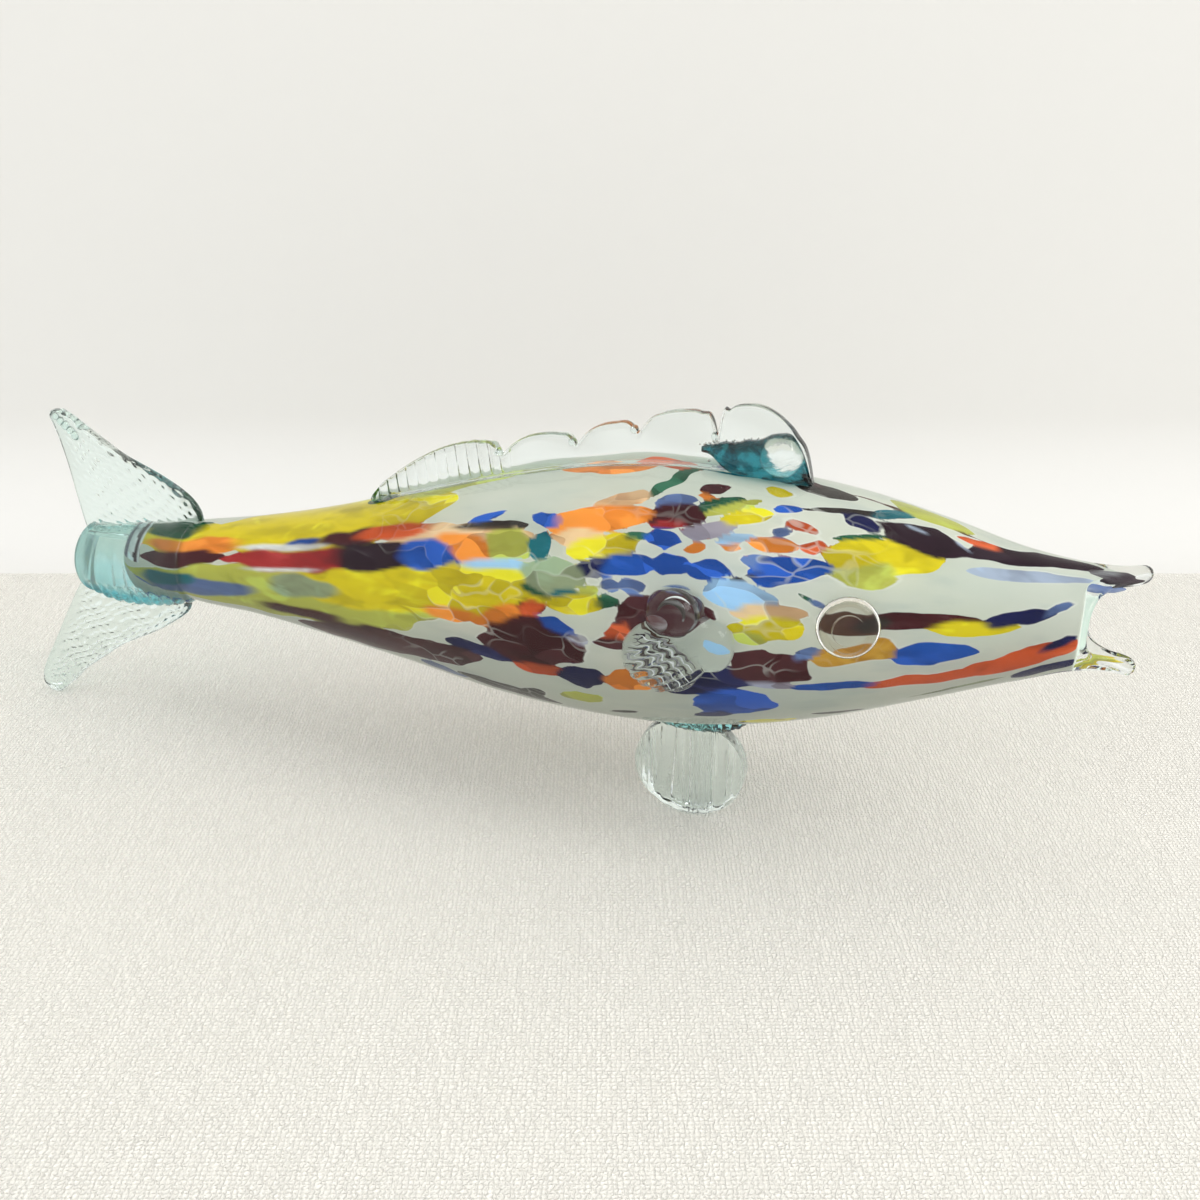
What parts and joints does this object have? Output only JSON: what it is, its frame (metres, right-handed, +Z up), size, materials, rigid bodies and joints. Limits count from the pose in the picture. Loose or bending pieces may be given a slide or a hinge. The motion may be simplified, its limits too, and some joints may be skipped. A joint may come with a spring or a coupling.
{
  "type": "glass fish figurine",
  "caption": "Hand-blown cased glass fish with an open mouth, pinched clear fins and a waffled tail, standing on its belly fin and lower tail tip.",
  "frame": {"origin": "on the table under the middle of the fish's length and width", "axes": "+X towards the mouth, +Z up, +Y towards the fish's left side"},
  "size_m": [0.3299, 0.0748, 0.1196],
  "materials": {
    "clear_glass": "glossy",
    "opal_glass": "glossy",
    "eye_glass": "glossy",
    "fin_glass": "glossy",
    "aqua_glass": "glossy",
    "teal_glass": "glossy",
    "root_glass": "glossy"
  },
  "bodies": {
    "root": {"clear_casing": "clear_glass", "opal_core": "opal_glass", "eye_right": "eye_glass", "eye_left": "eye_glass", "pectoral_fin_right": "clear_glass", "pectoral_fin_left": "clear_glass", "dorsal_fin": "fin_glass", "dorsal_gob": "teal_glass", "belly_fin": "fin_glass", "belly_root": "root_glass", "tail_knuckle": "aqua_glass", "tail_lobe_upper": "aqua_glass", "tail_lobe_lower": "aqua_glass"}
  },
  "joints": []
}
